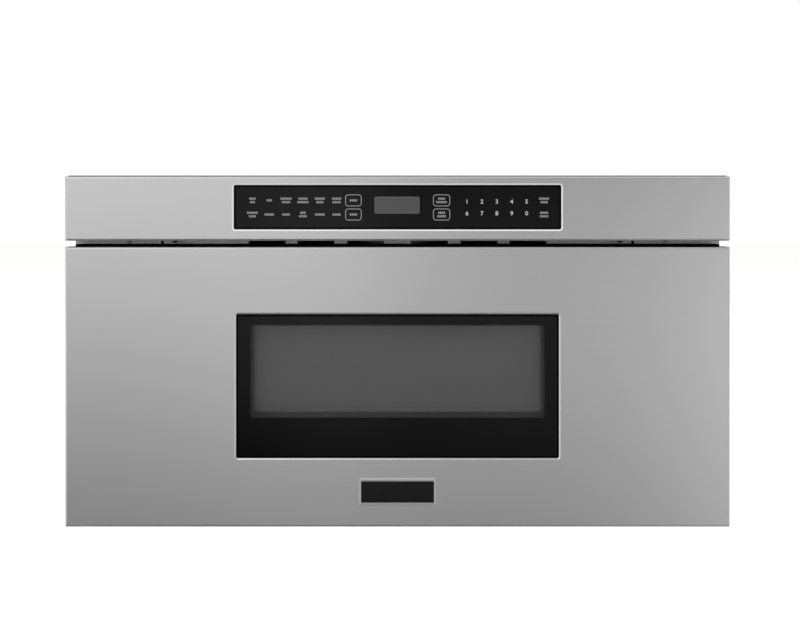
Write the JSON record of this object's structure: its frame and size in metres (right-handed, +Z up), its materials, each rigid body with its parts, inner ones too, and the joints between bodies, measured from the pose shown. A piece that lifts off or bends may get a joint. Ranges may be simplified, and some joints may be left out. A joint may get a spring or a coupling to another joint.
{
  "type": "microwave drawer",
  "caption": "Built-in microwave drawer: stainless front with black window, touch-glass fascia, chassis with cavity, motor-driven bin on telescopic rails.",
  "frame": {"origin": "centre of the four flange screws on the cabinet face, halfway up the chassis", "axes": "+X right, +Y to the back of the chassis, +Z up; the drawer opens along -Y"},
  "size_m": [0.7588, 0.6027, 0.4],
  "materials": {
    "stainless": "horizontally brushed stainless steel",
    "galvanised": "zinc-coated sheet steel",
    "enamel": "baked grey cavity enamel",
    "black_glass": "black back-printed glass",
    "clear_glass": "clear tempered glass",
    "black_plastic": "fine-grained black moulding",
    "white_plastic": "natural acetal moulding",
    "board": "green laminate with components",
    "ceramic": "white glass-ceramic plate",
    "rail_steel": "bright zinc-plated slide steel",
    "mica": "pressed mica sheet",
    "aluminium": "pressed aluminium",
    "core_steel": "varnished steel laminations",
    "copper": "enamelled copper winding",
    "screen_steel": "perforated screen, dark lacquer"
  },
  "bodies": {
    "chassis": {"front_flange": "stainless", "side_panel_left": "galvanised", "side_panel_right": "galvanised", "top_cover": "galvanised", "base_plate": "galvanised", "rear_panel": "galvanised", "cord_gland": "black_plastic", "cavity_bottom": "enamel", "cavity_top": "enamel", "cavity_side_left": "enamel", "cavity_side_right": "enamel", "cavity_back": "enamel", "waveguide_cover": "mica", "waveguide": "galvanised", "stirrer_motor": "galvanised", "magnetron": "aluminium", "transformer_core": "core_steel", "transformer_coils": "copper", "capacitor": "aluminium", "power_board": "board", "fan_shroud": "galvanised", "fan_motor": "core_steel", "front_duct": "black_plastic", "oven_lamp": "galvanised", "rail_supports": "galvanised", "rail_outer_left": "rail_steel", "rail_outer_right": "rail_steel", "drive_motor": "black_plastic", "motor_bracket": "galvanised", "rack_guide": "white_plastic", "interlock_holders": "white_plastic", "control_housing": "black_plastic", "control_fascia": "stainless", "control_glass": "black_glass", "key_board": "board", "display_module": "black_plastic"},
    "drawer": {"door_skin": "stainless", "door_glass": "black_glass", "door_frame": "enamel", "door_back": "galvanised", "window_tunnel": "black_plastic", "window_screen": "screen_steel", "inner_window": "clear_glass", "choke_cover": "black_plastic", "badge_plate": "stainless", "latch_hooks": "galvanised", "drawer_bin": "enamel", "ceramic_tray": "ceramic", "rail_inner_left": "rail_steel", "rail_inner_right": "rail_steel", "rail_brackets": "galvanised", "drive_rack": "white_plastic"},
    "rail_middle_left": {"rail_middle_left": "rail_steel"},
    "rail_middle_right": {"rail_middle_right": "rail_steel"},
    "pinion": {"drive_pinion": "white_plastic"},
    "stirrer": {"stirrer_fan": "aluminium"},
    "fan": {"fan_wheel": "black_plastic"},
    "plunger_left": {"switch_plunger_left": "white_plastic"},
    "plunger_right": {"switch_plunger_right": "white_plastic"}
  },
  "joints": [
    {"name": "drawer_slide", "type": "slide", "parent": "chassis", "child": "drawer", "axis": [0, -1, 0], "range_m": [0, 0.381]},
    {"name": "rail_middle_left_slide", "type": "slide", "parent": "chassis", "child": "rail_middle_left", "axis": [0, -1, 0], "range_m": [0, 0.1905]},
    {"name": "rail_middle_right_slide", "type": "slide", "parent": "chassis", "child": "rail_middle_right", "axis": [0, -1, 0], "range_m": [0, 0.1905]},
    {"name": "pinion_spin", "type": "hinge", "parent": "chassis", "child": "pinion", "pos_m": [0, 0.03, -0.1485], "axis": [-1, 0, 0], "range_deg": [0, 1618]},
    {"name": "stirrer_spin", "type": "hinge", "parent": "chassis", "child": "stirrer", "pos_m": [0, 0.2, 0.11], "axis": [0, 0, 1], "continuous": true},
    {"name": "fan_spin", "type": "hinge", "parent": "chassis", "child": "fan", "pos_m": [-0.092, 0.484, 0.044], "axis": [1, 0, 0], "continuous": true},
    {"name": "plunger_left_press", "type": "slide", "parent": "chassis", "child": "plunger_left", "axis": [0, 1, 0], "range_m": [0, 0.0015], "stiffness_N_per_m": 300},
    {"name": "plunger_right_press", "type": "slide", "parent": "chassis", "child": "plunger_right", "axis": [0, 1, 0], "range_m": [0, 0.0015], "stiffness_N_per_m": 300}
  ],
  "couplings": [
    {"joint": "rail_middle_left_slide", "follows": "drawer_slide", "ratio": 0.5},
    {"joint": "rail_middle_right_slide", "follows": "drawer_slide", "ratio": 0.5},
    {"joint": "pinion_spin", "follows": "drawer_slide", "rad_per_m": 74.074}
  ]
}
